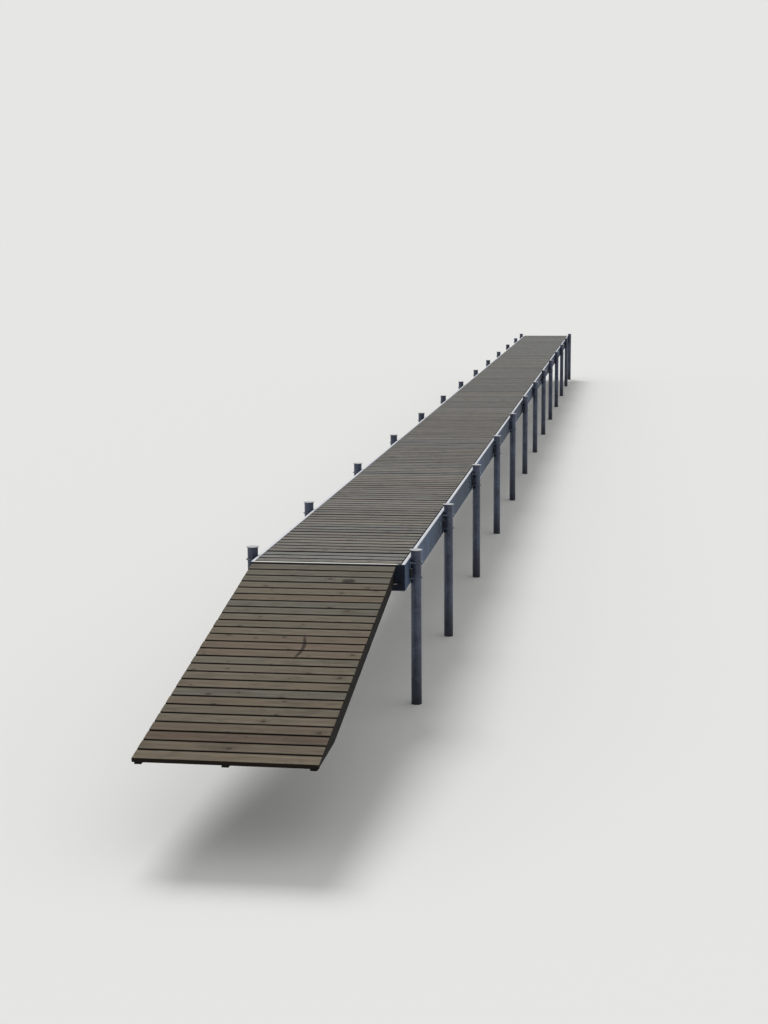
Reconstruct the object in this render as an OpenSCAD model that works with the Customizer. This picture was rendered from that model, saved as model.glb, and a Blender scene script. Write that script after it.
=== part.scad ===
// Modular bathing jetty: galvanised steel bays on pairs of round posts,
// decked crosswise with timber, with a timber ramp down to the beach.
// Millimetres. +Y runs along the jetty from the shore to the sea, +Z is up.
// The origin is under the middle of the whole length, level with the post feet.

/* [Bays] */
// Number of bays in the run
bay_count = 12; // [2:1:12]
// Length of one bay, end to end
bay_length = 3000; // [2700:30:3300]
// Length of the bay at the shore end
first_bay_length = 2500; // [2400:50:3000]
// Gap between the steel frames of neighbouring bays
bay_gap = 10; // [4:1:20]

/* [Side beams] */
// Width over the two side beams
frame_width = 1290; // [1000:10:1600]
// Depth of the side beams
beam_depth = 220; // [210:5:260]
// Width of the side beam flanges
beam_flange = 30; // [26:1:60]
// Wall of the side beams
beam_wall = 5; // [4:0.5:8]
// Inside radius of the side beams' bends
beam_bend = 4; // [2:0.5:5]

/* [Cross beams] */
// Width of the cross beam flanges
cross_flange = 60; // [50:1:70]
// Wall of the cross beams
cross_wall = 4; // [3:0.5:6]
// Inside radius of the cross beams' bends
cross_bend = 3; // [2:0.5:8]
// Height of the cross beams above the bends at the foot of the side beams
cross_lift = 8; // [2:1:12]
// Distance from a bay's end to its outermost cross beams
cross_inset = 90; // [85:5:120]
// Weld gap between a cross beam and the side beam's web
weld_gap = 0.5; // [0.2:0.1:2]

/* [Splices] */
// Length of a splice plate across the joint of two bays
splice_length = 150; // [120:5:160]
// Height of a splice plate
splice_height = 120; // [90:5:140]
// Thickness of a splice plate
splice_thickness = 6; // [4:1:10]
// Radius of a splice plate's corners
splice_corner = 10; // [4:1:20]
// Distance between a splice's bolts along the beam
splice_pitch = 80; // [64:2:90]
// Distance between a splice's bolts up the beam
splice_rise = 70; // [40:5:80]
// Diameter of the splice bolt holes
splice_hole = 14; // [9:1:18]

/* [Deck] */
// Loose panels in each bay's deck
panel_count = 3; // [2:1:3]
// Gap between neighbouring panels
panel_gap = 12; // [4:1:16]
// Shortest panel that is cut to fill the bay at the shore end
shortest_panel = 250; // [200:10:400]
// Height of the walking surface above the post feet
deck_height = 1250; // [900:10:1600]
// Thickness of the deck boards
board_thickness = 28; // [22:1:36]
// Gap between the boards' left ends and the flange
left_gap = 2; // [1:1:12]
// Gap between the boards' right ends and the flange
right_gap = 9; // [1:1:12]
// Width of a bearer under a panel's boards
bearer_width = 45; // [38:1:60]
// Depth of a bearer under a panel's boards
bearer_depth = 95; // [80:1:100]
// Distance from the boards' ends to the outer bearers
bearer_inset = 20; // [10:1:60]

/* [Posts] */
// Outside diameter of a post
post_diameter = 88.9; // [70:0.1:110]
// Wall of a post
post_wall = 4; // [3:0.5:6]
// Height of the post tubes above the deck
post_rise = 65; // [40:1:120]
// Distance from a bay's shore end to its posts, and from the last bay's sea end to the last posts
post_inset = 315; // [240:5:400]
// Gap between a post and the side beam
post_gap = 5; // [3:0.5:10]

/* [Post caps] */
// How far a cap's plate stands out past the tube
cap_rim = 9; // [4:0.5:14]
// Thickness of a cap's plate
cap_thickness = 5; // [3:0.5:8]
// Length of the plug inside the tube
cap_plug = 25; // [15:1:40]
// Gap between the plug and the tube
cap_clearance = 0.5; // [0.3:0.1:1.5]
// Chamfer on the edges of the plate and the plug
cap_chamfer = 1.2; // [0.5:0.1:1.4]

/* [Post clamps] */
// Height of a clamp's cradle
cradle_height = 68; // [50:1:70]
// Width of a clamp's cradle along the beam
cradle_width = 130; // [104:1:160]
// How far a cradle stands out from the beam
cradle_depth = 27; // [18:1:36]
// Depth of the chamfers at a cradle's outer corners
cradle_chamfer = 8; // [2:1:10]
// Distance from the deck down to the top of a cradle
cradle_drop = 82; // [70:1:90]
// Gap between a cradle and its post
cradle_clearance = 0.5; // [0.3:0.1:1.5]
// Diameter of the U-bolts' rod
rod_diameter = 12; // [8:1:14]
// Gap between a U-bolt's bow and the post
rod_clearance = 0.5; // [0.3:0.1:1.5]
// Gap around a U-bolt's legs in the beam's web
hole_clearance = 1; // [0.5:0.5:2]
// Gap between the deck boards and the upper U-bolts' legs
upper_rod_gap = 4; // [2:1:20]
// Gap between a cradle and the U-bolt under it
lower_rod_gap = 10; // [4:1:16]
// How far a U-bolt's legs reach past the web
rod_thread = 28; // [24:1:34]
// Width of a nut across its flats
nut_flats = 19; // [14:1:22]
// Height of a nut
nut_height = 10; // [6:1:12]
// Diameter of a washer
washer_diameter = 24; // [18:1:28]
// Thickness of a washer
washer_thickness = 2.5; // [1.5:0.5:4]

/* [Ramp] */
// Length of the ramp along its slope
ramp_length = 3490; // [2400:10:4200]
// Width of the ramp
ramp_width = 1200; // [900:10:1240]
// Slope of the ramp in degrees
ramp_slope = 9.75; // [6:0.25:14]
// Sideways offset of the ramp from the deck's middle
ramp_offset = -30; // [-40:1:40]
// Step down from the deck to the ramp
ramp_step = 13; // [5:1:40]
// Gap between the ramp and the end beam
ramp_gap = 8; // [4:1:20]
// Width of a ramp stringer
stringer_width = 45; // [38:1:60]
// Depth of a ramp stringer
stringer_depth = 120; // [100:1:150]
// Distance from the ramp's edge to the outer stringers
stringer_inset = 15; // [5:1:60]
// Height of the stringers' ends at the ramp's foot
stringer_toe = 15; // [10:1:60]
// Distance from the ramp's foot back to the stringers' ends
stringer_setback = 12; // [1:1:30]
// Depth of the level seats cut into the stringers' upper ends
seat_bite = 6; // [2:1:15]
// Gap between a seat's end and the angle that carries it
seat_clearance = 3; // [1:1:8]
// Leg of the angle that carries the stringers' upper ends
ledge_leg = 50; // [40:1:56]
// Wall of that angle
ledge_wall = 6; // [4:0.5:8]
// Radius of that angle's inner corner
ledge_root = 6; // [3:0.5:10]

/* [Hidden] */
$fn = 48;
run_length = first_bay_length + (bay_count - 1) * bay_length;
panel_length = bay_length / panel_count;
ramp_reach = ramp_gap + ramp_length * cos(ramp_slope);
shore_y = (ramp_reach - run_length) / 2;
sea_y = shore_y + run_length;
web_face = frame_width / 2;
web_back = web_face - beam_wall;
flange_edge = web_face - beam_flange;
corner_depth = beam_wall + beam_bend;
beam_middle = deck_height - beam_depth / 2;
bearer_top = deck_height - board_thickness;
cross_top = bearer_top - bearer_depth;
cross_depth = beam_depth - board_thickness - bearer_depth - corner_depth - cross_lift;
cross_span = 2 * (web_back - weld_gap);
board_length = 2 * flange_edge - left_gap - right_gap;
board_middle = (left_gap - right_gap) / 2;
post_radius = post_diameter / 2;
post_x = web_face + post_gap + post_radius;
post_top = deck_height + post_rise;
bow_radius = post_radius + rod_clearance + rod_diameter / 2;
upper_rod_drop = board_thickness + upper_rod_gap + rod_diameter / 2;
lower_rod_drop = cradle_drop + cradle_height + lower_rod_gap + rod_diameter / 2;
seat_z = deck_height - ramp_step - (board_thickness + stringer_depth) / cos(ramp_slope) + seat_bite;
bays = [1:bay_count];
pairs = [1:bay_count + 1];
sides = [-1, 1];

function two_digits(i) = str(i < 10 ? "0" : "", i);
function bay_start(i) = i == 1 ? shore_y : shore_y + first_bay_length + (i - 2) * bay_length;
function pairs_of(i) = i == bay_count ? [i, i + 1] : [i];
function joints_of(i) = [for (j = [i, i + 1]) if (j > 1 && j <= bay_count) j];
function pair_y(i) = i > bay_count ? sea_y - post_inset : bay_start(i) + post_inset;
function frame_start(i) = bay_start(i) + (i == 1 ? 0 : bay_gap / 2);
function frame_end(i) = bay_start(i + 1) - (i == bay_count ? 0 : bay_gap / 2);
function deck_start(i) = bay_start(i) + (i == 1 ? beam_flange + panel_gap : panel_gap / 2);
function deck_end(i) = bay_start(i + 1) - (i == bay_count ? beam_flange + panel_gap : panel_gap / 2);
function first_seams() = floor((first_bay_length - beam_flange - shortest_panel) / panel_length);
function seam_count(i) = i == 1 ? first_seams() : panel_count - 1;
function seams_of(i) = [for (k = [seam_count(i):-1:1]) bay_start(i + 1) - k * panel_length];
function panel_starts(i) = concat([deck_start(i)], [for (y = seams_of(i)) y + panel_gap / 2]);
function panel_ends(i) = concat([for (y = seams_of(i)) y - panel_gap / 2], [deck_end(i)]);

// Rectangle from the origin towards -x and -y with both corners at x = 0 rounded
module bent_block(width, height, radius) {
    translate([-width, -height]) square([width - radius, height]);
    translate([-width, radius - height]) square([width, height - 2 * radius]);
    for (y = [-radius, radius - height]) translate([-radius, y]) circle(radius);
}

// Cold-formed channel: the web stands at x = 0, the flanges point to -x and the top edge is at y = 0
module channel_outline(depth, flange, wall, bend) {
    difference() {
        bent_block(flange, depth, wall + bend);
        translate([-wall, -wall]) bent_block(flange, depth - 2 * wall, bend);
    }
}

// Channel lying along +y from the origin, web towards +x
module channel(length, depth, flange, wall, bend) {
    rotate([90, 0, 0]) mirror([0, 0, 1])
        linear_extrude(length) channel_outline(depth, flange, wall, bend);
}

// Channel across the jetty: its web's face is at y = 0, its flanges point to +y and its top is at z = 0
module cross_channel(span, depth, flange, wall, bend) {
    translate([-span / 2, 0, 0]) rotate([0, 0, -90]) channel(span, depth, flange, wall, bend);
}

// Holes through both webs for the U-bolts' legs
module rod_holes(i) {
    for (p = pairs_of(i), drop = [upper_rod_drop, lower_rod_drop], side = sides)
        translate([0, pair_y(p) + side * bow_radius, deck_height - drop])
            rotate([0, 90, 0])
                cylinder(h = frame_width + 2, d = rod_diameter + 2 * hole_clearance, center = true);
}

// Holes through both webs and their plates for the bolts of the splice between bays j - 1 and j
module splice_holes(j) {
    for (along = sides, up = sides)
        translate([0, bay_start(j) + along * splice_pitch / 2, beam_middle + up * splice_rise / 2])
            rotate([0, 90, 0]) cylinder(h = frame_width + 2, d = splice_hole, center = true);
}

module side_beams(i) {
    color("#8f999f")
        difference() {
            for (side = sides)
                translate([side * web_face, frame_start(i), deck_height])
                    mirror([side < 0 ? 1 : 0, 0, 0])
                        channel(frame_end(i) - frame_start(i), beam_depth, beam_flange, beam_wall, beam_bend);
            rod_holes(i);
            for (j = joints_of(i)) splice_holes(j);
        }
}

// Plates on the webs' inner faces that bolt neighbouring bays together
module splice_plates() {
    color("#7f898f")
        for (j = [2:bay_count])
            difference() {
                for (side = sides)
                    translate([side * (web_back - splice_thickness / 2), bay_start(j), beam_middle])
                        rotate([0, 90, 0]) splice_plate();
                splice_holes(j);
            }
}

// Plate with round corners, standing on edge once it is turned
module splice_plate() {
    height = splice_height - 2 * splice_corner;
    length = splice_length - 2 * splice_corner;
    linear_extrude(splice_thickness, center = true) {
        square([splice_height, length], center = true);
        square([height, splice_length], center = true);
        for (x = sides, y = sides) translate([x * height / 2, y * length / 2]) circle(splice_corner);
    }
}

// One cross beam near each end of a bay and one under each seam, where it carries both panels
module cross_beams() {
    color("#7f898f")
        for (i = bays) {
            first = bay_start(i) + cross_inset;
            last = bay_start(i + 1) - cross_inset - cross_flange;
            for (y = concat([first], [for (seam = seams_of(i)) seam - cross_flange / 2], [last]))
                translate([0, y, cross_top])
                    cross_channel(cross_span, cross_depth, cross_flange, cross_wall, cross_bend);
        }
}

// Channel between the side beams' webs, its corners coped clear of their flanges
module end_beam() {
    flange_span = 2 * (flange_edge - weld_gap);
    cope_length = (cross_span - flange_span) / 2 + 1;
    difference() {
        cross_channel(cross_span, beam_depth, beam_flange, beam_wall, beam_bend);
        for (side = sides, level = [0, -beam_depth])
            translate([side * (flange_span + cope_length) / 2, beam_flange / 2, level])
                cube([cope_length, beam_flange + 2, 2 * corner_depth], center = true);
    }
}

module shore_end_beam() {
    color("#8f999f") translate([0, shore_y, deck_height]) end_beam();
}

module sea_end_beam() {
    color("#8f999f") translate([0, sea_y, deck_height]) mirror([0, 1, 0]) end_beam();
}

// Loose deck panel: its boards with the three bearers that carry them
module panel(length) {
    bearer_reach = board_length / 2 - bearer_inset - bearer_width / 2;
    translate([-board_length / 2, 0, 0]) cube([board_length, length, board_thickness]);
    for (x = [-bearer_reach, 0, bearer_reach])
        translate([x - bearer_width / 2, 0, -bearer_depth])
            cube([bearer_width, length, bearer_depth]);
}

// One bay's panels, laid end to end from cross beam to cross beam
module deck(i) {
    color("#a39f8c")
        for (n = [0:seam_count(i)])
            translate([board_middle, panel_starts(i)[n], bearer_top])
                panel(panel_ends(i)[n] - panel_starts(i)[n]);
}

module post_pair(i) {
    color("#a7b0b6")
        for (side = sides)
            translate([side * post_x, pair_y(i), 0])
                difference() {
                    cylinder(h = post_top, r = post_radius);
                    translate([0, 0, -1]) cylinder(h = post_top + 2, r = post_radius - post_wall);
                }
}

// Turned cap: a plate on the tube's end with a plug inside it
module cap() {
    plate = post_radius + cap_rim;
    plug = post_radius - post_wall - cap_clearance;
    rotate_extrude()
        polygon([
            [0, -cap_plug], [plug - cap_chamfer, -cap_plug], [plug, cap_chamfer - cap_plug],
            [plug, 0], [plate, 0], [plate, cap_thickness - cap_chamfer],
            [plate - cap_chamfer, cap_thickness], [0, cap_thickness]
        ]);
}

module post_caps() {
    color("#c3c8cb")
        for (i = pairs, side = sides)
            translate([side * post_x, pair_y(i), post_top]) cap();
}

// Block against the beam's web at x = 0, hollowed to the post
module cradle() {
    ear = cradle_width / 2;
    linear_extrude(cradle_height)
        difference() {
            polygon([
                [0, -ear], [cradle_depth - cradle_chamfer, -ear], [cradle_depth, cradle_chamfer - ear],
                [cradle_depth, ear - cradle_chamfer], [cradle_depth - cradle_chamfer, ear], [0, ear]
            ]);
            translate([post_gap + post_radius, 0]) circle(post_radius + cradle_clearance);
        }
}

// Bow round the post's far side, its legs through the web at x = 0 to washers and nuts behind it
module u_bolt() {
    axis = post_gap + post_radius;
    translate([axis, 0, 0]) rotate([0, 0, -90])
        rotate_extrude(angle = 180) translate([bow_radius, 0]) circle(d = rod_diameter);
    for (side = sides)
        translate([axis, side * bow_radius, 0]) rotate([0, -90, 0]) {
            cylinder(h = axis + beam_wall + rod_thread, d = rod_diameter);
            translate([0, 0, axis + beam_wall]) cylinder(h = washer_thickness, d = washer_diameter);
            translate([0, 0, axis + beam_wall + washer_thickness])
                cylinder(h = nut_height, d = nut_flats / cos(30), $fn = 6);
        }
}

// Adjustable clamps: with the nuts slackened, a post slides up or down to suit the bed
module post_clamps() {
    color("#5e676d")
        for (i = pairs, side = sides)
            translate([side * web_face, pair_y(i), deck_height])
                mirror([side < 0 ? 1 : 0, 0, 0]) {
                    translate([0, 0, -cradle_drop - cradle_height]) cradle();
                    for (drop = [upper_rod_drop, lower_rod_drop]) translate([0, 0, -drop]) u_bolt();
                }
}

// The ramp's own frame: the upper edge of its walking surface at the origin, falling towards -y
module on_ramp() {
    translate([ramp_offset, shore_y - ramp_gap, deck_height - ramp_step])
        rotate([ramp_slope, 0, 0])
            children();
}

module ramp_deck() {
    color("#a8a08a")
        on_ramp()
            translate([-ramp_width / 2, -ramp_length, -board_thickness])
                cube([ramp_width, ramp_length, board_thickness]);
}

// Stringers with plumb upper ends, level seats on the angle and level cuts at the foot
module ramp_stringers() {
    reach = ramp_width / 2 - stringer_inset - stringer_width / 2;
    fall = ramp_length * sin(ramp_slope);
    toe_z = deck_height - ramp_step - fall - board_thickness * cos(ramp_slope) - stringer_toe;
    under = board_thickness + stringer_depth;
    color("#6f6a5c")
        difference() {
            intersection() {
                on_ramp()
                    for (x = [-reach, 0, reach])
                        translate([x - stringer_width / 2, -2 * ramp_length, -under])
                            cube([stringer_width, 2 * ramp_length + stringer_depth, stringer_depth]);
                translate([-ramp_width, shore_y - ramp_reach + stringer_setback, toe_z])
                    cube([2 * ramp_width, ramp_reach - ramp_gap - stringer_setback, deck_height]);
            }
            translate([-ramp_width, shore_y - ledge_leg - seat_clearance, seat_z - deck_height])
                cube([2 * ramp_width, ledge_leg + seat_clearance, deck_height]);
        }
}

// Rolled angle on the end beam's face, its level leg under the stringers' seats
module ramp_ledge() {
    color("#7f898f")
        translate([-flange_edge, shore_y, seat_z])
            rotate([-90, 0, -90])
                linear_extrude(2 * flange_edge) {
                    square([ledge_leg, ledge_wall]);
                    square([ledge_wall, ledge_leg]);
                    translate([ledge_wall, ledge_wall])
                        difference() {
                            square(ledge_root);
                            translate([ledge_root, ledge_root]) circle(ledge_root);
                        }
                }
}

for (i = bays) {
    side_beams(i);
    deck(i);
}
for (i = pairs)
    post_pair(i);
cross_beams();
splice_plates();
shore_end_beam();
sea_end_beam();
post_caps();
post_clamps();
ramp_deck();
ramp_stringers();
ramp_ledge();
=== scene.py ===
import math
import random
from functools import partial

import bpy
from mathutils import Matrix, Vector


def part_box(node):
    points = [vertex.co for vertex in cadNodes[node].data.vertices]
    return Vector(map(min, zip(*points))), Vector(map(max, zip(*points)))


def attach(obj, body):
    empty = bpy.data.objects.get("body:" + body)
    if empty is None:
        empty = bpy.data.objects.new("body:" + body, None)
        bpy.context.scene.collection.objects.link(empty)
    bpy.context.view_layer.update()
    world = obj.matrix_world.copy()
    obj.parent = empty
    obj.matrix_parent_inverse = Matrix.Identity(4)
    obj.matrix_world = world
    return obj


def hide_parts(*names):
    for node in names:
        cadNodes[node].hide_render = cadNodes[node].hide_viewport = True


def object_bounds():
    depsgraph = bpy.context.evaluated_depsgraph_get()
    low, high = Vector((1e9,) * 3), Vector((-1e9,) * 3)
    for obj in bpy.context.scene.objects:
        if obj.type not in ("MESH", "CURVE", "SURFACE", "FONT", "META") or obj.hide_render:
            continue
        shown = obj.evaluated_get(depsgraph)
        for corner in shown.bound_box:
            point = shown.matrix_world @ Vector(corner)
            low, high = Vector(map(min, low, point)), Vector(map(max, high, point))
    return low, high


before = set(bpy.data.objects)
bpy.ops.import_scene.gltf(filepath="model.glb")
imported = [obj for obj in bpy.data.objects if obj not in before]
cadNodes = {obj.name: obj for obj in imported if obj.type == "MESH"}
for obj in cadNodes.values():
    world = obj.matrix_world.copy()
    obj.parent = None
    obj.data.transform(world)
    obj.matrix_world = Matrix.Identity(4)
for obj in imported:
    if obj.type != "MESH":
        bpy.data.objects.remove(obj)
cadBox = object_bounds()
bayNames = sorted(name[:6] for name in cadNodes if name.startswith("bay_") and name.endswith("_deck"))
postNames = sorted(name for name in cadNodes if name.startswith("post_pair_"))
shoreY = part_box("shore_end_beam")[0].y
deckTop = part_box("bay_01_deck")[1].z
print("frame loaded:", len(cadNodes), "CAD nodes,", len(bayNames), "bays")


# sRGB hex to the linear colour that a socket takes
def linearColour(hexCode):
    parts = [int(hexCode[i:i + 2], 16) / 255 for i in (1, 3, 5)]
    return [p / 12.92 if p <= 0.04045 else ((p + 0.055) / 1.055) ** 2.4 for p in parts] + [1.0]


# one node with its settings, its values and its links
def addNode(tree, kind, inputs=None, **settings):
    made = tree.nodes.new(kind)
    for name, value in settings.items():
        setattr(made, name, value)
    for key, value in (inputs or {}).items():
        if isinstance(value, bpy.types.NodeSocket):
            tree.links.new(value, made.inputs[key])
        else:
            made.inputs[key].default_value = value
    return made


def newMaterial(name, plainValues):
    material = bpy.data.materials.new(name)
    material.use_nodes = True
    tree = material.node_tree
    shader = tree.nodes["Principled BSDF"]
    for socket, value in plainValues.items():  # what is the same all over sits on the shader's own socket
        shader.inputs[socket].default_value = value
    return material, tree, shader


# sorted places of a CAD node's corners along one axis, to a tenth of a millimetre
def levelsOf(nodeName, axis):
    return sorted({round(v.co[axis], 4) for v in cadNodes[nodeName].data.vertices})


# how far along the jetty a pair of posts stands
def postMiddle(index):
    low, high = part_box(postNames[index])
    return (low.y + high.y) / 2


def meshPiece(name, verts, faces, material, attributes=None, smooth=False):
    mesh = bpy.data.meshes.new(name)
    mesh.from_pydata(verts, [], faces)
    for attribute, values in (attributes or {}).items():
        mesh.attributes.new(attribute, "FLOAT", "POINT").data.foreach_set("value", values)
    mesh.polygons.foreach_set("use_smooth", [smooth] * len(mesh.polygons))
    mesh.materials.append(material)
    mesh.update()
    piece = bpy.data.objects.new(name, mesh)
    bpy.context.scene.collection.objects.link(piece)
    return piece


def keepPiece(piece, slot, *replaced):
    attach(piece, "root")
    if replaced:
        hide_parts(*replaced)


# camera: found by fitting posts, boards and ramp corners to the photo's frame
cameraSet = {
    "lens": 58.39,  # mm on a 36 mm long side
    "right": 2.427,  # m from the jetty's middle line
    "back": 13.16,  # m out from the shore end of the deck
    "above": 2.546,  # m over the deck
    "turn": 8.4416,  # degrees to the left of the jetty's own direction
    "down": 9.0286,
    "roll": -0.395,
    "farClip": 3000,
}


def addCamera(look):
    data = bpy.data.cameras.new("camera")
    data.lens = look["lens"]
    data.sensor_width = 36
    data.clip_end = look["farClip"]
    camera = bpy.data.objects.new("camera", data)
    turned = Matrix.Rotation(math.radians(look["turn"]), 4, "Z")
    tilted = Matrix.Rotation(math.radians(90 - look["down"]), 4, "X")
    rolled = Matrix.Rotation(math.radians(look["roll"]), 4, "Z")
    place = Matrix.Translation((look["right"], shoreY - look["back"], deckTop + look["above"]))
    camera.matrix_world = place @ turned @ tilted @ rolled
    bpy.context.scene.collection.objects.link(camera)
    bpy.context.scene.camera = camera


addCamera(cameraSet)
print("camera placed")


markEdge = {"rim": 1.3, "core": 0.6, "endFade": 0.02}  # shares of the half width, and metres


# a stain: part of a ring of given radius round a point, ragged at its edge (radius 0 gives a blot)
def addMark(tree, place, colour, mark):
    add = partial(addNode, tree)
    centre = (mark["x"], shoreY + mark["y"], 0.0)
    flat = add("ShaderNodeVectorMath", {0: place, 1: (1.0, 1.0, 0.0)}, operation="MULTIPLY").outputs[0]
    away = add("ShaderNodeVectorMath", {0: flat, 1: centre}, operation="SUBTRACT").outputs[0]
    reach = add("ShaderNodeVectorMath", {0: away}, operation="LENGTH").outputs["Value"]
    ragged = add("ShaderNodeTexNoise", {"Vector": place, "Scale": 1000 / mark["raggedMm"],
                                        "Detail": 3.0}).outputs[0]
    reach = add("ShaderNodeMath", {0: ragged, 1: mark["halfWidth"], 2: reach},
                operation="MULTIPLY_ADD").outputs[0]
    ringAt = mark["radius"] + mark["halfWidth"] / 2  # the ragged share adds half a half-width on average
    offRing = add("ShaderNodeMath", {0: reach, 1: ringAt}, operation="SUBTRACT").outputs[0]
    offRing = add("ShaderNodeMath", {0: offRing}, operation="ABSOLUTE").outputs[0]
    rim = markEdge["rim"] * mark["halfWidth"]
    core = markEdge["core"] * mark["halfWidth"]
    inside = add("ShaderNodeMapRange", {0: offRing, 1: rim, 2: core},
                 interpolation_type="SMOOTHSTEP").outputs[0]
    turned = add("ShaderNodeVectorMath", {0: away, 1: mark["towards"]},
                 operation="DOT_PRODUCT").outputs["Value"]
    onSide = add("ShaderNodeMapRange", {0: turned, 1: mark["from"],
                                        2: mark["from"] + markEdge["endFade"]}).outputs[0]
    share = add("ShaderNodeMath", {0: inside, 1: onSide}, operation="MULTIPLY").outputs[0]
    share = add("ShaderNodeMath", {0: share, 1: mark["depth"]}, operation="MULTIPLY").outputs[0]
    return add("ShaderNodeMix", {0: share, 6: colour, 7: linearColour(mark["colour"])},
               data_type="RGBA").outputs[2]


pineSet = {
    "logShift": (61.0, 23.0, 37.0),  # m through the log for a whole step of a board's seed
    "knotFrom": 0.45, "pinKnot": 0.0008,  # cells under this tint keep only a pin knot, radius in m
    "knotStretch": 1.3,  # longer along the grain than across it
    "knotRim": 1.2, "knotCore": 0.75, "haloRim": 4.0, "haloCore": 0.8,  # in radii of the knot
    "knotDepth": 0.85, "haloDepth": 0.5, "ringBend": 0.10,
    "swellSpan": 2.2,  # evens out that the noise uses less than half of its scale
    "lateFrom": -0.2,  # where on the wave between two rings the latewood starts
    "stainFrom": 0.52, "stainFull": 0.72, "wearAndSheenFrom": 0.42, "wearAndSheenFull": 0.62,  # levels of the noise
    "tanAt": 0.6, "redFrom": 0.7,  # on the scale of a board's tone
    "fibreLengthMm": 160, "fibreLow": 0.3, "fibreHigh": 0.7, "darkFibre": 0.82, "paleFibre": 1.13,
    "ridgeAt": 0.56, "ridgeFoot": 0.30, "ridgeTop": 0.05,  # shares of a board's half width
    "edgeBlotch": 0.06, "edgeFibre": 0.07,  # how ragged the edge of the dirt and painted shade is
    "topFacing": 0.85, "sideFacing": 0.35,  # upward share of a face's normal
    "smoothest": 0.76, "roughest": 0.92, "ringRelief": 0.5, "reliefStrength": 0.6,
}


# pressure-treated pine, sawn and planed, greyed outdoors:
# soft contour grain, small knots, pale ridges of wear and painted highlight, and dark edges at the gaps of
# dirt and painted shade
def treatedPine(name, look):
    material, tree, shader = newMaterial(name, {"Specular IOR Level": look["specular"]})
    add = partial(addNode, tree)
    place = add("ShaderNodeTexCoord").outputs["Object"]
    if look["grainAlong"] == "Y":
        parts = add("ShaderNodeSeparateXYZ", {0: place})
        place = add("ShaderNodeCombineXYZ", {0: parts.outputs[1], 1: parts.outputs[0],
                                             2: parts.outputs[2]}).outputs[0]
    seed = add("ShaderNodeAttribute", attribute_name="boardSeed").outputs["Fac"]
    tone = add("ShaderNodeAttribute", attribute_name="boardTone").outputs["Fac"]
    value = add("ShaderNodeAttribute", attribute_name="boardValue").outputs["Fac"]
    across = add("ShaderNodeAttribute", attribute_name="across").outputs["Fac"]

    # every board comes from another part of the log
    shift = add("ShaderNodeVectorMath", {0: pineSet["logShift"], "Scale": seed}, operation="SCALE").outputs[0]
    log = add("ShaderNodeVectorMath", {0: place, 1: shift}, operation="ADD").outputs[0]

    # knots: about one in two cells has one, nearly round, of mixed sizes
    knotCell = (1000 / look["knotSpacingMm"], 1000 / look["boardMm"], 1.0)
    knotPlace = add("ShaderNodeVectorMath", {0: log, 1: knotCell}, operation="MULTIPLY").outputs[0]
    cells = add("ShaderNodeTexVoronoi", {"Vector": knotPlace, "Scale": 1.0, "Randomness": 0.85},
                voronoi_dimensions="2D")
    fromKnot = add("ShaderNodeVectorMath", {0: knotPlace, 1: cells.outputs["Position"]},
                   operation="SUBTRACT").outputs[0]
    cellSize = (look["knotSpacingMm"] / (1000 * pineSet["knotStretch"]), look["boardMm"] / 1000, 0.0)
    fromKnot = add("ShaderNodeVectorMath", {0: fromKnot, 1: cellSize}, operation="MULTIPLY").outputs[0]
    fromKnot = add("ShaderNodeVectorMath", {0: fromKnot}, operation="LENGTH").outputs["Value"]
    cellTint = add("ShaderNodeSeparateColor", {0: cells.outputs["Color"]}).outputs[0]
    knotSize = add("ShaderNodeMapRange", {0: cellTint, 1: pineSet["knotFrom"], 3: pineSet["pinKnot"],
                                          4: look["knotMm"] / 2000}).outputs[0]
    knotEdge = add("ShaderNodeMath", {0: fromKnot, 1: knotSize}, operation="DIVIDE").outputs[0]
    knot = add("ShaderNodeMapRange", {0: knotEdge, 1: pineSet["knotRim"], 2: pineSet["knotCore"]},
               interpolation_type="SMOOTHSTEP").outputs[0]
    halo = add("ShaderNodeMapRange", {0: knotEdge, 1: pineSet["haloRim"], 2: pineSet["haloCore"]},
               interpolation_type="SMOOTHSTEP").outputs[0]

    # growth rings: contour lines of a long soft swell, bent round the knots
    swellCell = (1000 / look["swellLengthMm"], 1000 / look["swellWidthMm"], 1000 / look["swellWidthMm"])
    swellPlace = add("ShaderNodeVectorMath", {0: log, 1: swellCell}, operation="MULTIPLY").outputs[0]
    swell = add("ShaderNodeTexNoise", {"Vector": swellPlace, "Scale": 1.0, "Detail": 1.5,
                                       "Roughness": 0.4}).outputs[0]
    bent = add("ShaderNodeMath", {0: halo, 1: pineSet["ringBend"], 2: swell},
               operation="MULTIPLY_ADD").outputs[0]
    ringTurn = look["swellWidthMm"] / look["ringMm"] * 2 * math.pi * pineSet["swellSpan"]
    phase = add("ShaderNodeMath", {0: bent, 1: ringTurn}, operation="MULTIPLY").outputs[0]
    wave = add("ShaderNodeMath", {0: phase}, operation="SINE").outputs[0]
    rings = add("ShaderNodeMapRange", {0: wave, 1: pineSet["lateFrom"], 2: 1.0},
                interpolation_type="SMOOTHSTEP").outputs[0]

    # fibres, drawn 5 or 6 mm apart, coarser than real ones, so that they still show
    fibreCell = (1000 / pineSet["fibreLengthMm"], 1000 / look["fibreMm"], 1000 / look["fibreMm"])
    fibrePlace = add("ShaderNodeVectorMath", {0: log, 1: fibreCell}, operation="MULTIPLY").outputs[0]
    fibres = add("ShaderNodeTexNoise", {"Vector": fibrePlace, "Scale": 1.0, "Detail": 3.0,
                                        "Roughness": 0.6}).outputs[0]

    # blotches left by rain and wear
    blotch = add("ShaderNodeTexNoise", {"Vector": log, "Scale": 1000 / look["blotchMm"], "Detail": 4.0,
                                        "Roughness": 0.62, "Distortion": 0.4}).outputs[0]
    stained = add("ShaderNodeMapRange", {0: blotch, 1: pineSet["stainFrom"], 2: pineSet["stainFull"]},
                  interpolation_type="SMOOTHSTEP").outputs[0]

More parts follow.
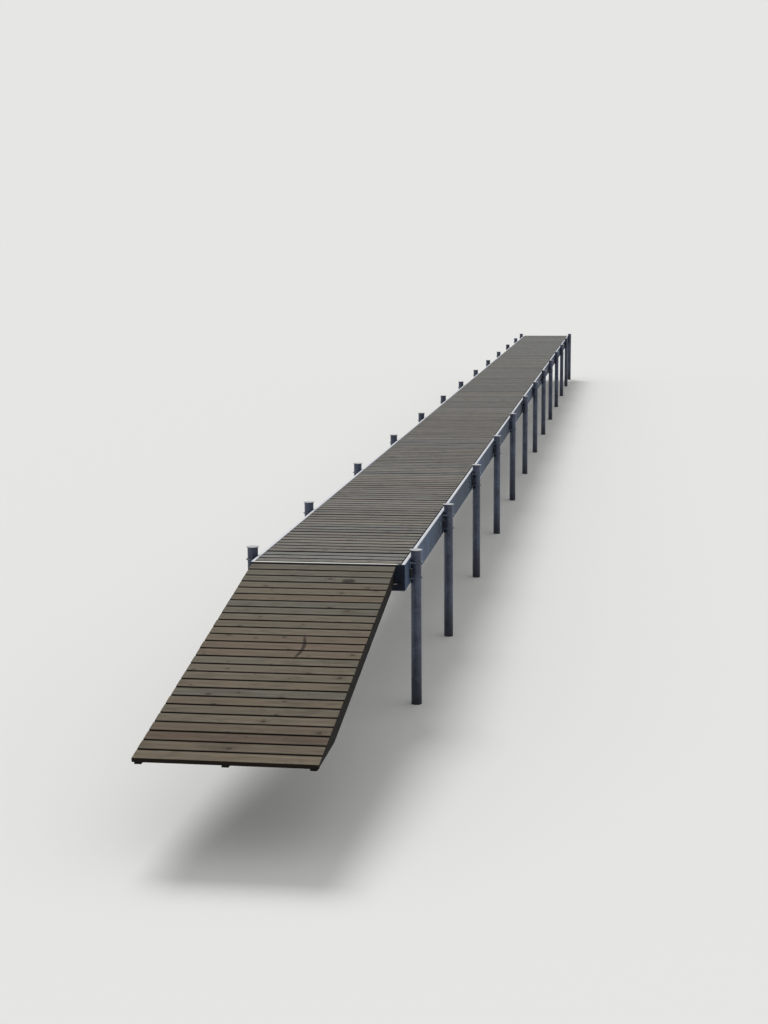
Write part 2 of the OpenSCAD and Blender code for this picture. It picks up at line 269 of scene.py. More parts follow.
    # the board's own tone, then rings, stains, knots and the dark wood round them
    greenToTan = add("ShaderNodeMapRange", {0: tone, 1: 0.0, 2: pineSet["tanAt"]}).outputs[0]
    tanToRed = add("ShaderNodeMapRange", {0: tone, 1: pineSet["redFrom"], 2: 1.0}).outputs[0]
    colour = add("ShaderNodeMix", {0: greenToTan, 6: linearColour(look["green"]),
                                   7: linearColour(look["tan"])}, data_type="RGBA").outputs[2]
    colour = add("ShaderNodeMix", {0: tanToRed, 6: colour, 7: linearColour(look["red"])},
                 data_type="RGBA").outputs[2]
    layers = [(rings, look["ringDepth"], "latewood"), (stained, look["stainDepth"], "stain"),
              (halo, pineSet["haloDepth"], "latewood"), (knot, pineSet["knotDepth"], "knot")]
    for cover, depth, tint in layers:
        share = add("ShaderNodeMath", {0: cover, 1: depth}, operation="MULTIPLY").outputs[0]
        colour = add("ShaderNodeMix", {0: share, 6: colour, 7: linearColour(look[tint])},
                     data_type="RGBA").outputs[2]

    # cupped boards are pale along their raised edges, in patches: wear with a painted highlight
    edge = add("ShaderNodeMath", {0: across}, operation="ABSOLUTE").outputs[0]
    offRidge = add("ShaderNodeMath", {0: edge, 1: pineSet["ridgeAt"]}, operation="SUBTRACT").outputs[0]
    offRidge = add("ShaderNodeMath", {0: offRidge}, operation="ABSOLUTE").outputs[0]
    ridge = add("ShaderNodeMapRange", {0: offRidge, 1: pineSet["ridgeFoot"], 2: pineSet["ridgeTop"]},
                interpolation_type="SMOOTHSTEP").outputs[0]
    wearAndSheen = add("ShaderNodeMapRange", {0: fibres, 1: pineSet["wearAndSheenFrom"], 2: pineSet["wearAndSheenFull"]}).outputs[0]
    wearAndSheen = add("ShaderNodeMath", {0: wearAndSheen, 1: ridge}, operation="MULTIPLY").outputs[0]
    wearAndSheen = add("ShaderNodeMath", {0: wearAndSheen, 1: look["wearAndSheenDepth"]}, operation="MULTIPLY").outputs[0]
    colour = add("ShaderNodeMix", {0: wearAndSheen, 6: colour, 7: linearColour(look["wearAndSheen"])},
                 data_type="RGBA").outputs[2]
    shadeByFibre = add("ShaderNodeMapRange", {0: fibres, 1: pineSet["fibreLow"], 2: pineSet["fibreHigh"],
                                              3: pineSet["darkFibre"], 4: pineSet["paleFibre"]}).outputs[0]
    shade = add("ShaderNodeMath", {0: shadeByFibre, 1: value}, operation="MULTIPLY").outputs[0]
    colour = add("ShaderNodeHueSaturation", {"Value": shade, "Color": colour}).outputs[0]

    # dirt and painted shade along the edges at the gaps, and painted shade with dirt on every side that faces
    # down or out
    edge = add("ShaderNodeMath", {0: blotch, 1: pineSet["edgeBlotch"], 2: edge},
               operation="MULTIPLY_ADD").outputs[0]
    edge = add("ShaderNodeMath", {0: fibres, 1: pineSet["edgeFibre"], 2: edge},
               operation="MULTIPLY_ADD").outputs[0]
    edgeDirtAndShade = add("ShaderNodeMapRange", {0: edge, 1: look["dirtAndShadeFrom"], 2: look["dirtAndShadeFull"]},
                    interpolation_type="SMOOTHSTEP").outputs[0]
    facing = add("ShaderNodeNewGeometry").outputs["Normal"]
    upward = add("ShaderNodeSeparateXYZ", {0: facing}).outputs[2]
    sideShadeAndDirt = add("ShaderNodeMapRange", {0: upward, 1: pineSet["topFacing"],
                                           2: pineSet["sideFacing"]}).outputs[0]
    dirtAndShade = add("ShaderNodeMath", {0: edgeDirtAndShade, 1: sideShadeAndDirt}, operation="MAXIMUM").outputs[0]
    dirtAndShadeShare = add("ShaderNodeMath", {0: dirtAndShade, 1: look["dirtAndShadeDepth"]}, operation="MULTIPLY").outputs[0]
    colour = add("ShaderNodeMix", {0: dirtAndShadeShare, 6: colour, 7: linearColour(look["dirtAndShade"])},
                 data_type="RGBA").outputs[2]
    for mark in look.get("marks", []):
        colour = addMark(tree, place, colour, mark)
    tree.links.new(colour, shader.inputs["Base Color"])

    rough = add("ShaderNodeMapRange", {0: fibres, 1: 0.2, 2: 0.8, 3: pineSet["smoothest"],
                                       4: pineSet["roughest"]}).outputs[0]
    tree.links.new(rough, shader.inputs["Roughness"])
    relief = add("ShaderNodeMath", {0: rings, 1: pineSet["ringRelief"], 2: fibres},
                 operation="MULTIPLY_ADD").outputs[0]
    bump = add("ShaderNodeBump", {"Height": relief, "Strength": pineSet["reliefStrength"],
                                  "Distance": look["reliefMm"] / 1000}).outputs[0]
    tree.links.new(bump, shader.inputs["Normal"])
    return material


zincSet = {
    "bloomFrom": 0.35, "bloomFull": 0.68,  # levels of the cloudy noise
    "runStretch": 12,  # how many times longer than wide the runs are
    "runLow": 0.35, "runHigh": 0.65, "darkRun": 0.84, "paleRun": 1.08,
    "sheenFrom": 0.12, "sheenUntil": 0.6,  # shares of the way from one post to the next
    "troddenRagged": 0.08, "troddenRim": 0.06, "troddenCore": 0.02, "dampShadeRagged": 0.18,  # m
    "paintedTopFrom": 0.55, "paintedTopFull": 0.95,  # upward share of a face's normal
    "cloudLow": 0.3, "cloudHigh": 0.7, "smoother": 0.06, "rougher": 0.08,
    "pittingMm": 6, "pittingDepth": 0.0004, "pittingStrength": 0.35,  # coarser than real pitting, so it shows
}


# hot-dip galvanised mild steel, weathered: blue-grey zinc with faint crystals,
# and a painted highlight on its level faces
def galvanisedSteel(name, look):
    material, tree, shader = newMaterial(name, {"Metallic": look["metallic"],
                                                "Specular IOR Level": look["specular"]})
    add = partial(addNode, tree)
    place = add("ShaderNodeTexCoord").outputs["Object"]
    crystals = add("ShaderNodeTexVoronoi", {"Vector": place,
                                            "Scale": 1000 / look["spangleMm"]}).outputs["Color"]
    crystal = add("ShaderNodeSeparateColor", {0: crystals}).outputs[0]
    cloud = add("ShaderNodeTexNoise", {"Vector": place, "Scale": 1000 / look["patchMm"], "Detail": 4.0,
                                       "Roughness": 0.6, "Distortion": 0.3}).outputs[0]
    # runs that drain straight down the faces
    runCell = (1000 / look["runMm"], 1000 / look["runMm"], 1000 / (zincSet["runStretch"] * look["runMm"]))
    runPlace = add("ShaderNodeVectorMath", {0: place, 1: runCell}, operation="MULTIPLY").outputs[0]
    runs = add("ShaderNodeTexNoise", {"Vector": runPlace, "Scale": 1.0, "Detail": 3.0}).outputs[0]
    patch = add("ShaderNodeMapRange", {0: cloud, 1: zincSet["bloomFrom"], 2: zincSet["bloomFull"]},
                interpolation_type="SMOOTHSTEP").outputs[0]
    colour = add("ShaderNodeMix", {0: patch, 6: linearColour(look["zinc"]), 7: linearColour(look["bloom"])},
                 data_type="RGBA").outputs[2]
    runShade = add("ShaderNodeMapRange", {0: runs, 1: zincSet["runLow"], 2: zincSet["runHigh"],
                                          3: zincSet["darkRun"], 4: zincSet["paleRun"]}).outputs[0]
    depth = look["spangleDepth"]
    crystalShade = add("ShaderNodeMapRange", {0: crystal, 3: 1 - depth, 4: 1 + depth}).outputs[0]
    shade = add("ShaderNodeMath", {0: runShade, 1: crystalShade}, operation="MULTIPLY").outputs[0]
    if "postAt" in look:  # painted sheen on the webs beyond each post, painted shadow on them before the next one
        along = add("ShaderNodeSeparateXYZ", {0: place}).outputs[1]
        along = add("ShaderNodeMath", {0: along, 1: look["postAt"]}, operation="SUBTRACT").outputs[0]
        along = add("ShaderNodeMath", {0: along, 1: look["postPitch"]}, operation="DIVIDE").outputs[0]
        along = add("ShaderNodeMath", {0: along}, operation="FRACT").outputs[0]
        paintedSheen = add("ShaderNodeMapRange", {0: along, 1: zincSet["sheenFrom"], 2: zincSet["sheenUntil"],
                                           3: look["paintedSheenShade"], 4: 1.0}).outputs[0]
        paintedShadow = add("ShaderNodeMapRange", {0: along, 1: zincSet["sheenUntil"], 2: 1.0, 3: 1.0,
                                          4: look["paintedShadowShade"]}).outputs[0]
        shade = add("ShaderNodeMath", {0: shade, 1: paintedSheen}, operation="MULTIPLY").outputs[0]
        shade = add("ShaderNodeMath", {0: shade, 1: paintedShadow}, operation="MULTIPLY").outputs[0]
    colour = add("ShaderNodeHueSaturation", {"Value": shade, "Color": colour}).outputs[0]

    if "darkBand" in look:  # the band between the U-bolts, where the cradles sit, is painted dark
        middle, half = look["darkBand"]
        level = add("ShaderNodeSeparateXYZ", {0: place}).outputs[2]
        inDarkBand = add("ShaderNodeMath", {0: level, 1: deckTop + middle, 2: half},
                     operation="COMPARE").outputs[0]
        colour = add("ShaderNodeMix", {0: inDarkBand, 6: colour, 7: linearColour(look["bandColour"])},
                     data_type="RGBA").outputs[2]

    # level faces are painted pale: a painted highlight
    facing = add("ShaderNodeNewGeometry").outputs["Normal"]
    upward = add("ShaderNodeSeparateXYZ", {0: facing}).outputs[2]
    paintedTop = add("ShaderNodeMapRange", {0: upward, 1: zincSet["paintedTopFrom"],
                                       2: zincSet["paintedTopFull"]}).outputs[0]
    paintedTopTone = add("ShaderNodeMix", {0: cloud, 6: linearColour(look["paintedTop"]),
                                      7: linearColour(look["paintedTopWorn"])}, data_type="RGBA").outputs[2]
    if "troddenHalf" in look:  # on the end flange the painted highlight, with the wear of feet, spans the width of the ramp only
        aside = add("ShaderNodeSeparateXYZ", {0: place}).outputs[0]
        aside = add("ShaderNodeMath", {0: aside, 1: look["troddenMiddle"]}, operation="SUBTRACT").outputs[0]
        aside = add("ShaderNodeMath", {0: aside}, operation="ABSOLUTE").outputs[0]
        aside = add("ShaderNodeMath", {0: cloud, 1: zincSet["troddenRagged"], 2: aside},
                    operation="MULTIPLY_ADD").outputs[0]
        rim = look["troddenHalf"] + zincSet["troddenRim"]
        core = look["troddenHalf"] + zincSet["troddenCore"]
        trodden = add("ShaderNodeMapRange", {0: aside, 1: rim, 2: core},
                      interpolation_type="SMOOTHSTEP").outputs[0]
        paintedTop = add("ShaderNodeMath", {0: paintedTop, 1: trodden}, operation="MULTIPLY").outputs[0]
    colour = add("ShaderNodeMix", {0: paintedTop, 6: colour, 7: paintedTopTone}, data_type="RGBA").outputs[2]

    # darker towards the foot: painted shade under the deck, and damp
    height = add("ShaderNodeSeparateXYZ", {0: place}).outputs[2]
    ragged = add("ShaderNodeMath", {0: cloud, 1: zincSet["dampShadeRagged"], 2: height},
                 operation="MULTIPLY_ADD").outputs[0]
    dampShade = add("ShaderNodeMapRange", {0: ragged, 1: look["dampShadeLine"] + look["dampShadeFade"], 2: look["dampShadeLine"]},
              interpolation_type="SMOOTHSTEP").outputs[0]
    colour = add("ShaderNodeMix", {0: dampShade, 6: colour, 7: linearColour(look["dampShade"])},
                 data_type="RGBA").outputs[2]
    tree.links.new(colour, shader.inputs["Base Color"])

    rough = add("ShaderNodeMapRange", {0: cloud, 1: zincSet["cloudLow"], 2: zincSet["cloudHigh"],
                                       3: look["roughness"] - zincSet["smoother"],
                                       4: look["roughness"] + zincSet["rougher"]}).outputs[0]
    tree.links.new(rough, shader.inputs["Roughness"])
    relief = add("ShaderNodeTexNoise", {"Vector": place, "Scale": 1000 / zincSet["pittingMm"],
                                        "Detail": 2.0}).outputs[0]
    bump = add("ShaderNodeBump", {"Height": relief, "Strength": zincSet["pittingStrength"],
                                  "Distance": zincSet["pittingDepth"]}).outputs[0]
    tree.links.new(bump, shader.inputs["Normal"])
    return material


deckPineLook = {
    "grainAlong": "X", "boardMm": 150, "knotSpacingMm": 300, "knotMm": 26, "swellLengthMm": 1500,
    "swellWidthMm": 95, "ringMm": 12, "fibreMm": 6, "blotchMm": 420, "reliefMm": 1.0, "specular": 0.15,
    "green": "#656867", "tan": "#726c63", "red": "#70665e", "latewood": "#494745", "stain": "#4b4a48",
    "knot": "#322e28", "dirtAndShade": "#0e0c0a", "wearAndSheen": "#959492", "ringDepth": 0.42, "stainDepth": 0.5,
    "wearAndSheenDepth": 0.65, "dirtAndShadeDepth": 0.98, "dirtAndShadeFrom": 0.79, "dirtAndShadeFull": 0.93,
}
rampPineLook = {
    "grainAlong": "X", "boardMm": 140, "knotSpacingMm": 260, "knotMm": 32, "swellLengthMm": 1400,
    "swellWidthMm": 95, "ringMm": 13, "fibreMm": 6, "blotchMm": 340, "reliefMm": 0.8, "specular": 0.15,
    "green": "#605e55", "tan": "#695f50", "red": "#665649", "latewood": "#4a4237", "stain": "#494238",
    "knot": "#2b221b", "dirtAndShade": "#0f0905", "wearAndSheen": "#7d7568", "ringDepth": 0.42, "stainDepth": 0.5,
    "wearAndSheenDepth": 0.45, "dirtAndShadeDepth": 0.96, "dirtAndShadeFrom": 0.92, "dirtAndShadeFull": 1.04,
    "marks": [
        # old blot over two boards near the top, and a curved streak with a tick beside it half way down
        {"x": 0.24, "y": -0.355, "radius": 0.0, "halfWidth": 0.05, "towards": (0, 1, 0), "from": -0.1,
         "raggedMm": 40, "depth": 0.9, "colour": "#26201c"},
        {"x": -0.373, "y": -1.67, "radius": 0.50, "halfWidth": 0.014, "towards": (1, 0, 0), "from": 0.458,
         "raggedMm": 40, "depth": 0.88, "colour": "#261d19"},
        {"x": -0.05, "y": -1.50, "radius": 0.0, "halfWidth": 0.02, "towards": (0, 1, 0), "from": -0.1,
         "raggedMm": 30, "depth": 0.6, "colour": "#2b2420"},
    ],
}
sawnPineLook = {
    "grainAlong": "Y", "boardMm": 120, "knotSpacingMm": 320, "knotMm": 24, "swellLengthMm": 1500,
    "swellWidthMm": 80, "ringMm": 10, "fibreMm": 5, "blotchMm": 300, "reliefMm": 1.2, "specular": 0.15,
    "green": "#2c2b26", "tan": "#332e27", "red": "#342c26", "latewood": "#211d19", "stain": "#1f1d19",
    "knot": "#171410", "dirtAndShade": "#1a1612", "wearAndSheen": "#3b362f", "ringDepth": 0.4, "stainDepth": 0.6,
    "wearAndSheenDepth": 0.2, "dirtAndShadeDepth": 0.35, "dirtAndShadeFrom": 0.9, "dirtAndShadeFull": 1.03,
}
# by the posts the webs get a painted sheen beyond each post and a painted shadow before the next one
beamZincLook = {
    "zinc": "#2d394b", "bloom": "#4b5b73", "paintedTop": "#cdcfd5", "paintedTopWorn": "#b8bac0", "dampShade": "#20252c",
    "spangleMm": 11, "spangleDepth": 0.22, "patchMm": 800, "runMm": 26, "metallic": 0.12, "roughness": 0.66,
    "specular": 0.15, "dampShadeLine": -1.0, "dampShadeFade": 0.25,
    "postAt": postMiddle(1), "postPitch": postMiddle(2) - postMiddle(1), "paintedSheenShade": 1.6, "paintedShadowShade": 0.42,
}
# the beam steel again with painted shade: its nearly black zinc and bloom stand for the shade on this face
shadedEndBeamZincLook = dict(beamZincLook, zinc="#151923", bloom="#1e2430", paintedTop="#dcd8d0", paintedTopWorn="#bdb9b1",
                       troddenMiddle=sum(corner.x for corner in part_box("ramp_deck")) / 2, troddenHalf=0.6)
postZincLook = {
    "zinc": "#2d3446", "bloom": "#454f64", "paintedTop": "#a2a4a9", "paintedTopWorn": "#8e9096", "dampShade": "#151a26",
    "spangleMm": 10, "spangleDepth": 0.32, "patchMm": 180, "runMm": 22, "metallic": 0.15, "roughness": 0.40,
    "specular": 0.5, "dampShadeLine": 0.0, "dampShadeFade": 0.55,
}
capZincLook = dict(postZincLook, zinc="#6c6f77", bloom="#7d8087", paintedTop="#a6a7ac", paintedTopWorn="#939499",
                   spangleDepth=0.05, dampShadeLine=-1.0)
clampLook = dict(postZincLook, zinc="#3b4254", bloom="#4f586b", paintedTop="#8b8f99", paintedTopWorn="#787c86",
                 darkBand=(-0.116, 0.0345),  # middle under the deck and half height, m
                 bandColour="#12161f", roughness=0.5, specular=0.4, metallic=0.3, dampShadeLine=-1.0)
boltLook = dict(postZincLook, zinc="#4f545e", bloom="#646974", paintedTop="#7d8088", paintedTopWorn="#6c6f77",
                spangleDepth=0.02, metallic=0.5, roughness=0.45, specular=0.35, dampShadeLine=-1.0)
screwLook = dict(boltLook, zinc="#3a3936", bloom="#45443f", paintedTop="#4a4945", paintedTopWorn="#42413d",
                 metallic=0.3, roughness=0.6, specular=0.2)

deckPine = treatedPine("weatheredDeckPine", deckPineLook)  # silver grey, a touch warmer near the ramp
rampPine = treatedPine("treatedRampPine", rampPineLook)  # newer boards: tan to greenish, a few reddish
sawnPine = treatedPine("roughSawnPine", sawnPineLook)  # bearers and stringers, much darker than the boards
beamZinc = galvanisedSteel("galvanisedBeamSteel", beamZincLook)  # blue-grey webs with painted sheen and shadow by the posts, flanges pale by painted highlight
shadedEndBeamZinc = galvanisedSteel("shadedEndBeamSteel", shadedEndBeamZincLook)  # black face of painted shade, a pale line at the ramp of painted highlight
postZinc = galvanisedSteel("galvanisedPostTube", postZincLook)  # darker blue-grey, with painted shade and damp towards the foot
capZinc = galvanisedSteel("galvanisedCapSteel", capZincLook)  # pale discs, their tops with a painted highlight
clampIron = galvanisedSteel("galvanisedClampIron", clampLook)  # dull dark blocks and rods
boltZinc = galvanisedSteel("zincPlatedBolts", boltLook)  # small bright points
screwZinc = galvanisedSteel("dulledScrewZinc", screwLook)  # screw heads, nearly the colour of the wood
print("materials made")


def paintNodes(nodeNames, material):
    for name in nodeNames:
        materials = cadNodes[name].data.materials
        materials.clear()
        materials.append(material)


paintNodes([bay + "_side_beams" for bay in bayNames], beamZinc)
paintNodes(["cross_beams", "splice_plates", "sea_end_beam"], beamZinc)
paintNodes(["shore_end_beam", "ramp_ledge"], shadedEndBeamZinc)
paintNodes(postNames, postZinc)
paintNodes(["post_caps"], capZinc)
paintNodes(["post_clamps"], clampIron)
paintNodes(["ramp_stringers"], sawnPine)
print("steel and stringers painted")


# a board's own frame: origin at the middle of its top, u along its grain, v across it, w out of its face;
# it is bowed, crowned and twisted a little, and its ends are sawn slightly askew
def boardPoint(board, along, across, height):
    ends = along / board["length"] * 2
    sideways = board["bow"] * (1 - ends * ends)
    skew = board["skew"] * across * (1 if along > 0 else -1) * abs(ends) ** 8
    crown = board["crown"] * (1 - (2 * across / board["width"]) ** 2)
    twist = board["twist"] * ends * across
    return (board["origin"] + board["u"] * (along + skew) + board["v"] * (across + sideways)
            + board["w"] * (height + crown + twist))


# rounded outline of a board's cross-section, from the bottom of one side over the top to the other
def boardOutline(width, thickness, radius):
    half = width / 2
    turns = (0, math.pi / 6, math.pi / 3, math.pi / 2)
    arc = [(radius * (1 - math.cos(turn)), radius * (math.sin(turn) - 1)) for turn in turns]
    left = [(-half, -thickness)] + [(-half + x, z) for x, z in arc]
    right = [(half - x, z) for x, z in reversed(arc)] + [(half, -thickness)]
    middle = [(half * share, 0.0) for share in (-0.6, -0.2, 0.2, 0.6)]
    return left + middle + right


def boardMesh(name, boards, radius, stations, material):
    verts = []
    faces = []
    marks = {"boardSeed": [], "boardTone": [], "boardValue": [], "across": []}
    for board in boards:
        outline = boardOutline(board["width"], board["thickness"], radius)
        first = len(verts)
        for station in range(stations):
            along = board["length"] * (station / (stations - 1) - 0.5)
            for across, height in outline:
                verts.append(boardPoint(board, along, across, height))
                marks["boardSeed"].append(board["seed"])
                marks["boardTone"].append(board["tone"])
                marks["boardValue"].append(board["value"])
                marks["across"].append(2 * across / board["width"])
        count = len(outline)
        for station in range(stations - 1):
            for k in range(count):
                a = first + station * count + k
                b = first + station * count + (k + 1) % count
                faces.append((a, b, b + count, a + count))
        faces.append(tuple(first + k for k in reversed(range(count))))
        faces.append(tuple(first + (stations - 1) * count + k for k in range(count)))
    return meshPiece(name, verts, faces, material, marks)


boardSet = {
    "deckPitch": 0.1429, "deckGap": 0.017, "seamInset": 0.011, "rampPitch": 0.1345, "rampGap": 0.0150,
    "edgeRadius": 0.004, "stations": 9, "bow": 0.0014, "crown": 0.0006, "twist": 0.0012, "skew": 0.006,
    "endPlay": 0.0015, "settle": 0.0012, "bearerRadius": 0.003, "bearerStations": 3,
    "bearerToneMost": 0.8, "bearerValueSpread": 0.05, "deckSeed": 4100, "rampSeed": 977,
    "toneNear": 0.48, "toneFar": 0.12, "valueNear": 1.05, "valueFar": 1.24,  # paler and cooler far out: a painted sheen of the far deck
    "toneHead": 0.2, "toneFoot": 0.58, "toneMost": 0.68,  # the ramp grows more tan towards its foot
    "deckToneSpread": 0.22, "deckValueSpread": 0.08, "panelSpread": 0.05,
    "rampToneSpread": 0.18, "rampValueSpread": 0.045,
}


# one board with its own small faults, its tone on a scale from green over tan to red
def makeBoard(rng, origin, u, v, w, length, width, thickness, tone, value):
    play = boardSet["endPlay"]
    sunk = rng.uniform(0, boardSet["settle"])
    return {
        "origin": origin + u * rng.uniform(-play, play) - w * sunk, "u": u, "v": v, "w": w,
        "length": length - 2 * play, "width": width, "thickness": thickness - sunk, "seed": rng.random(),
        "tone": tone, "value": value, "bow": rng.uniform(-1, 1) * boardSet["bow"],
        "crown": rng.uniform(-0.5, 1) * boardSet["crown"], "twist": rng.uniform(-1, 1) * boardSet["twist"],
        "skew": rng.uniform(-1, 1) * boardSet["skew"],
    }


# where each loose panel of a bay starts and ends, off the deck node's own corners
def panelSpans(bay):
    ends = levelsOf(bay + "_deck", 1)
    return list(zip(ends[0::2], ends[1::2]))


# boards of one bay, farShare says how far along the run it lies, from 0 to 1
def deckBoards(bay, farShare, rng):
    low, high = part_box(bay + "_deck")
    thickness = high.z - levelsOf(bay + "_deck", 2)[-2] - boardSet["crown"]
    axes = Vector((1, 0, 0)), Vector((0, 1, 0)), Vector((0, 0, 1))
    usualTone = boardSet["toneNear"] + (boardSet["toneFar"] - boardSet["toneNear"]) * farShare
    usualValue = boardSet["valueNear"] + (boardSet["valueFar"] - boardSet["valueNear"]) * farShare
    spread = boardSet["panelSpread"]
    boards = []
    for start, end in panelSpans(bay):
        start += boardSet["seamInset"]
        length = end - boardSet["seamInset"] - start
        count = round((length + boardSet["deckGap"]) / boardSet["deckPitch"])
        pitch = (length + boardSet["deckGap"]) / count
        width = pitch - boardSet["deckGap"]
        panelValue = usualValue * rng.uniform(1 - spread, 1 + spread)
        for k in range(count):
            middle = start + width / 2 + k * pitch
            origin = Vector(((low.x + high.x) / 2, middle, high.z - boardSet["crown"]))
            tone = min(1, max(0, rng.gauss(usualTone, boardSet["deckToneSpread"])))
            value = panelValue * rng.gauss(1.0, boardSet["deckValueSpread"])
            boards.append(makeBoard(rng, origin, *axes, high.x - low.x, width, thickness, tone, value))
    return boards


# the ramp's plane, from the corners of its CAD slab
def rampPlane():
    corners = [v.co.copy() for v in cadNodes["ramp_deck"].data.vertices]
    low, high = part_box("ramp_deck")
    top = max(corners, key=lambda c: c.z)
    foot = min(corners, key=lambda c: c.y)
    head = Vector(((low.x + high.x) / 2, top.y, top.z))
    down = Vector((0, foot.y - top.y, foot.z - top.z))
    across = Vector((1, 0, 0))
    out = across.cross(-down.normalized())
    depth = max((head - corner).dot(out) for corner in corners)
    return {"head": head, "down": down.normalized(), "out": out, "length": down.length,
            "width": high.x - low.x, "thickness": depth}


rampFrame = rampPlane()
# tones and values of single ramp boards, counted from the ramp's head
redBoards = {5: 0.8, 11: 0.8, 12: 0.88, 13: 0.84, 19: 0.78, 22: 0.82, 23: 1.0}
dullBoards = {22: 0.9, 23: 0.82}


def rampBoards(rng):
    length = rampFrame["length"]
    count = round(length / boardSet["rampPitch"])
    pitch = (length + boardSet["rampGap"]) / count
    width = pitch - boardSet["rampGap"]
    thickness = rampFrame["thickness"] - boardSet["crown"]
    axes = Vector((1, 0, 0)), -rampFrame["down"], rampFrame["out"]
    boards = []
    for k in range(count):
        distance = width / 2 + k * pitch
        origin = rampFrame["head"] + rampFrame["down"] * distance - rampFrame["out"] * boardSet["crown"]
        usualTone = boardSet["toneHead"] + (boardSet["toneFoot"] - boardSet["toneHead"]) * k / (count - 1)
        drawnTone = max(0, rng.gauss(usualTone, boardSet["rampToneSpread"]))
        tone = redBoards.get(k, min(boardSet["toneMost"], drawnTone))
        value = rng.gauss(1.0, boardSet["rampValueSpread"]) * dullBoards.get(k, 1.0)
        boards.append(makeBoard(rng, origin, *axes, rampFrame["width"], width, thickness, tone, value))
    return boards


# bearers under the boards, read off the deck node's own corners
def bearerBars(bay, rng):
    node = bay + "_deck"
    low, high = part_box(node)
    under = levelsOf(node, 2)
    sides = [x for x in levelsOf(node, 0) if low.x + 0.001 < x < high.x - 0.001]
    bars = []
    for start, end in panelSpans(bay):
        for left, right in zip(sides[0::2], sides[1::2]):
            bars.append({
                "origin": Vector(((left + right) / 2, (start + end) / 2, under[-2])),
                "u": Vector((0, 1, 0)), "v": Vector((-1, 0, 0)), "w": Vector((0, 0, 1)),
                "length": end - start, "width": right - left, "thickness": under[-2] - low.z,
                "seed": rng.random(), "tone": rng.uniform(0, boardSet["bearerToneMost"]),
                "value": rng.gauss(1.0, boardSet["bearerValueSpread"]),
                "bow": 0.0, "crown": 0.0, "twist": 0.0, "skew": 0.0,
            })
    return bars


screwSet = {
    "headRadius": 0.0045, "sunk": 0.0004, "dome": 0.0007, "root": 0.003, "sides": 10,
    "fromMiddle": 0.34,  # share of the board's width
    "outline": [(1.0, 0.0), (1.0, 0.0), (0.72, 1.0), (0.42, 1.0), (0.30, -1.6)],  # shares of radius and dome
}


# screw heads on a list of seats, each a point with its outward direction
def screwMesh(name, seats, material):
    verts = []
    faces = []
    sides = screwSet["sides"]
    rings = screwSet["outline"]
    for point, out in seats:
        first = len(verts)
        aside = out.orthogonal().normalized()
        beside = out.cross(aside)
        for ring, (share, rise) in enumerate(rings):
            lift = -screwSet["root"] if ring == 0 else rise * screwSet["dome"] - screwSet["sunk"]
            reach = screwSet["headRadius"] * share
            for k in range(sides):
                angle = 2 * math.pi * k / sides
                turned = aside * math.cos(angle) + beside * math.sin(angle)
                verts.append(point + turned * reach + out * lift)
        for ring in range(len(rings) - 1):
            for k in range(sides):
                a = first + ring * sides + k
                b = first + ring * sides + (k + 1) % sides
                faces.append((a, b, b + sides, a + sides))
        faces.append(tuple(first + k for k in reversed(range(sides))))
        faces.append(tuple(first + (len(rings) - 1) * sides + k for k in range(sides)))
    return meshPiece(name, verts, faces, material)


def screwSeats(boards, lines):
    seats = []
    for board in boards:
        for line in lines:
            for side in (-1, 1):
                along = (line - board["origin"].x) / board["u"].x
                across = side * screwSet["fromMiddle"] * board["width"]
                seats.append((boardPoint(board, along, across, 0.0), board["w"]))
    return seats


deckScrews = []
boardCount = 0
bearerCount = 0
for index, bay in enumerate(bayNames):
    rng = random.Random(boardSet["deckSeed"] + index)
    boards = deckBoards(bay, index / (len(bayNames) - 1), rng)
    bars = bearerBars(bay, rng)
    keepPiece(boardMesh(bay + "_boards", boards, boardSet["edgeRadius"], boardSet["stations"], deckPine),
              "deck_timber", bay + "_deck")
    keepPiece(boardMesh(bay + "_bearers", bars, boardSet["bearerRadius"], boardSet["bearerStations"],
                        sawnPine), "deck_timber")
    deckScrews += screwSeats(boards, sorted({round(bar["origin"].x, 4) for bar in bars}))
    boardCount += len(boards)
    bearerCount += len(bars)
keepPiece(screwMesh("deck_screws", deckScrews, screwZinc), "cap_steel")
print("deck boards:", boardCount, "on", bearerCount, "bearers")

rampPlanks = rampBoards(random.Random(boardSet["rampSeed"]))
keepPiece(boardMesh("ramp_boards", rampPlanks, boardSet["edgeRadius"], boardSet["stations"], rampPine),
          "ramp_timber", "ramp_deck")
stringerSides = levelsOf("ramp_stringers", 0)
stringerLines = [(a + b) / 2 for a, b in zip(stringerSides[0::2], stringerSides[1::2])]
rampScrews = screwSeats(rampPlanks, stringerLines)
keepPiece(screwMesh("ramp_screws", rampScrews, screwZinc), "cap_steel")
print("ramp boards:", len(rampPlanks))


# hexagon bolts through the splices and the ramp's angle: washer, head, and where seen a nut on the other side
boltSet = {
    "washer": 0.012, "washerThick": 0.0025, "flats": 0.019, "headHigh": 0.0075, "nutHigh": 0.010,
    "tipOut": 0.005, "shank": 0.006, "splicePitch": 0.08, "spliceRise": 0.07, "ledgeDrop": 0.031,
    "ledgePlaces": (-0.46, -0.2, 0.2, 0.46),
    "sunk": 0.0005, "chamfer": 0.0015, "tipChamfer": 0.001, "washerSides": 20, "tipSides": 12,
    "spliceSeed": 31, "ledgeSeed": 32,
}


